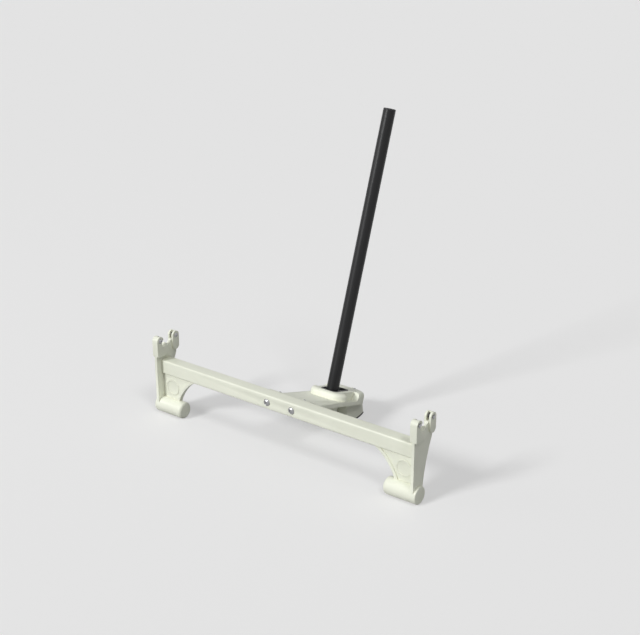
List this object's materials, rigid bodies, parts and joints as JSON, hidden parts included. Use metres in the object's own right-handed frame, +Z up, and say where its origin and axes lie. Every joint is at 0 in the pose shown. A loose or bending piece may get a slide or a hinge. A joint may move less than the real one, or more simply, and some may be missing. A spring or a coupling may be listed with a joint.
{
  "type": "deadlift jack",
  "caption": "Rocking lever jack for a loaded barbell: cradles on webbed end castings, cross beam, round feet, a sloping tail casting on a rear pad, and a tall pole.",
  "frame": {"origin": "on the floor, in the middle of the part's outline seen from above", "axes": "+X along the cross beam and the lifted bar, +Y from the cradles towards the tail and the pole, +Z up"},
  "size_m": [1.08, 0.6398, 1.0378],
  "materials": {
    "cast_cream": "gloss enamel over a cast surface",
    "beam_cream": "gloss enamel",
    "pole_black": "satin powder coat",
    "roller_black": "turned black nylon",
    "trim_black": "moulded, satin",
    "cap_black": "moulded, satin",
    "pad_rubber": "matt",
    "fastener_steel": "bright zinc plated"
  },
  "bodies": {
    "frame": {"left_end_casting": "cast_cream", "right_end_casting": "cast_cream", "cross_beam": "beam_cream", "left_front_axle": "fastener_steel", "left_rear_axle": "fastener_steel", "right_front_axle": "fastener_steel", "right_rear_axle": "fastener_steel", "left_axle_nuts": "fastener_steel", "right_axle_nuts": "fastener_steel", "tail_casting": "cast_cream", "beam_bolts": "fastener_steel", "beam_bolt_sleeves": "fastener_steel", "beam_bolt_washers": "fastener_steel", "beam_bolt_nuts": "fastener_steel", "pocket_liner": "trim_black", "clamp_screw": "fastener_steel", "clamp_screw_nut": "fastener_steel", "rear_pad": "pad_rubber", "rear_pad_screws": "fastener_steel"},
    "left_front_roller": {"left_front_roller": "roller_black"},
    "left_rear_roller": {"left_rear_roller": "roller_black"},
    "right_front_roller": {"right_front_roller": "roller_black"},
    "right_rear_roller": {"right_rear_roller": "roller_black"},
    "pole": {"pole": "pole_black", "pole_top_cap": "cap_black", "pole_bottom_plug": "cap_black"}
  },
  "joints": [
    {"name": "left_front_roller_spin", "type": "hinge", "parent": "frame", "child": "left_front_roller", "pos_m": [-0.526, -0.30208, 0.26754], "axis": [1, 0, 0], "continuous": true},
    {"name": "left_rear_roller_spin", "type": "hinge", "parent": "frame", "child": "left_rear_roller", "pos_m": [-0.526, -0.22692, 0.267], "axis": [1, 0, 0], "continuous": true},
    {"name": "right_front_roller_spin", "type": "hinge", "parent": "frame", "child": "right_front_roller", "pos_m": [0.526, -0.30208, 0.26754], "axis": [1, 0, 0], "continuous": true},
    {"name": "right_rear_roller_spin", "type": "hinge", "parent": "frame", "child": "right_rear_roller", "pos_m": [0.526, -0.22692, 0.267], "axis": [1, 0, 0], "continuous": true},
    {"name": "pole_lift", "type": "slide", "parent": "frame", "child": "pole", "axis": [0, 0.3239, 0.9461], "range_m": [0, 0.09]}
  ]
}
